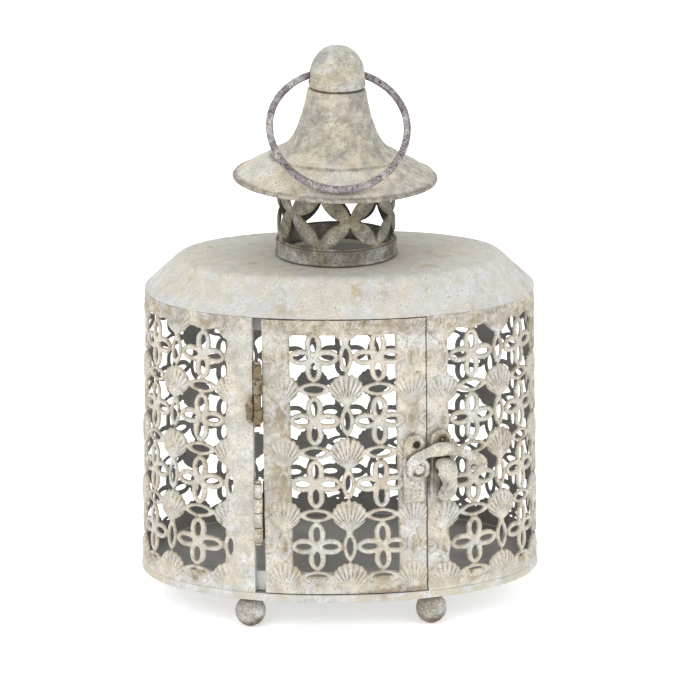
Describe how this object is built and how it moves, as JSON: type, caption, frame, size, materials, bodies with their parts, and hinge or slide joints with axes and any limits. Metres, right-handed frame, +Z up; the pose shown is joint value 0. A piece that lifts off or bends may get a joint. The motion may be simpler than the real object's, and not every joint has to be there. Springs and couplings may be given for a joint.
{
  "type": "candle lantern",
  "caption": "Oval sheet-metal candle lantern with pierced lattice walls, a hinged front door with a swing latch, a bell-capped chimney, a carrying ring and ball feet.",
  "frame": {"origin": "middle of the footprint's box, on the surface that the feet stand on", "axes": "+Z up, front with the door towards -Y, +X to the right along the long side of the oval"},
  "size_m": [0.1708, 0.1118, 0.2384],
  "materials": {
    "cream_paint": "chalky off-white paint, rubbed and rust-spotted",
    "beige_paint": "chalky grey-beige paint, rubbed and speckled",
    "ochre_metal": "worn paint over ochre and brown tarnish",
    "silver_wire": "dark silver-grey wire with white flecks",
    "grey_metal": "matt dark grey with pale wear",
    "rusty_steel": "rust-brown steel with paint crusts"
  },
  "bodies": {
    "lantern": {"roof_shell": "cream_paint", "chimney_collar": "ochre_metal", "chimney_gallery": "ochre_metal", "chimney_cap": "beige_paint", "dome_knob": "beige_paint", "wall_left": "cream_paint", "wall_back": "cream_paint", "wall_right": "cream_paint", "header_band": "cream_paint", "sill_band": "cream_paint", "jamb_left": "cream_paint", "jamb_right": "cream_paint", "base_rim": "cream_paint", "floor_tray": "grey_metal", "foot_front_left": "grey_metal", "foot_front_right": "grey_metal", "foot_rear_left": "grey_metal", "foot_rear_right": "grey_metal", "hinge_upper_wall_leaf": "rusty_steel", "hinge_upper_pin": "rusty_steel", "hinge_lower_wall_leaf": "rusty_steel", "hinge_lower_pin": "rusty_steel", "keeper": "beige_paint", "keeper_rivet": "rusty_steel"},
    "door": {"door_lattice": "cream_paint", "door_stile_left": "cream_paint", "door_stile_right": "cream_paint", "door_rail_top": "cream_paint", "door_rail_bottom": "cream_paint", "hinge_upper_door_leaf": "rusty_steel", "hinge_lower_door_leaf": "rusty_steel", "latch_plate": "beige_paint", "latch_pivot_rivet": "rusty_steel"},
    "latch_arm": {"latch_arm": "beige_paint"},
    "carry_ring": {"carry_ring": "silver_wire"}
  },
  "joints": [
    {"name": "door_hinge", "type": "hinge", "parent": "lantern", "child": "door", "pos_m": [-0.03608, -0.05012, 0.0781], "axis": [0, 0, -1], "range_deg": [0, 120]},
    {"name": "latch_pivot", "type": "hinge", "parent": "door", "child": "latch_arm", "pos_m": [0.02975, -0.05245, 0.0716], "axis": [0.1912, -0.9816, 0], "range_deg": [0, 100]},
    {"name": "ring_swing", "type": "hinge", "parent": "lantern", "child": "carry_ring", "pos_m": [-0.0015, 0.00086, 0.2257], "axis": [-1, 0, 0], "range_deg": [0, 267]}
  ]
}
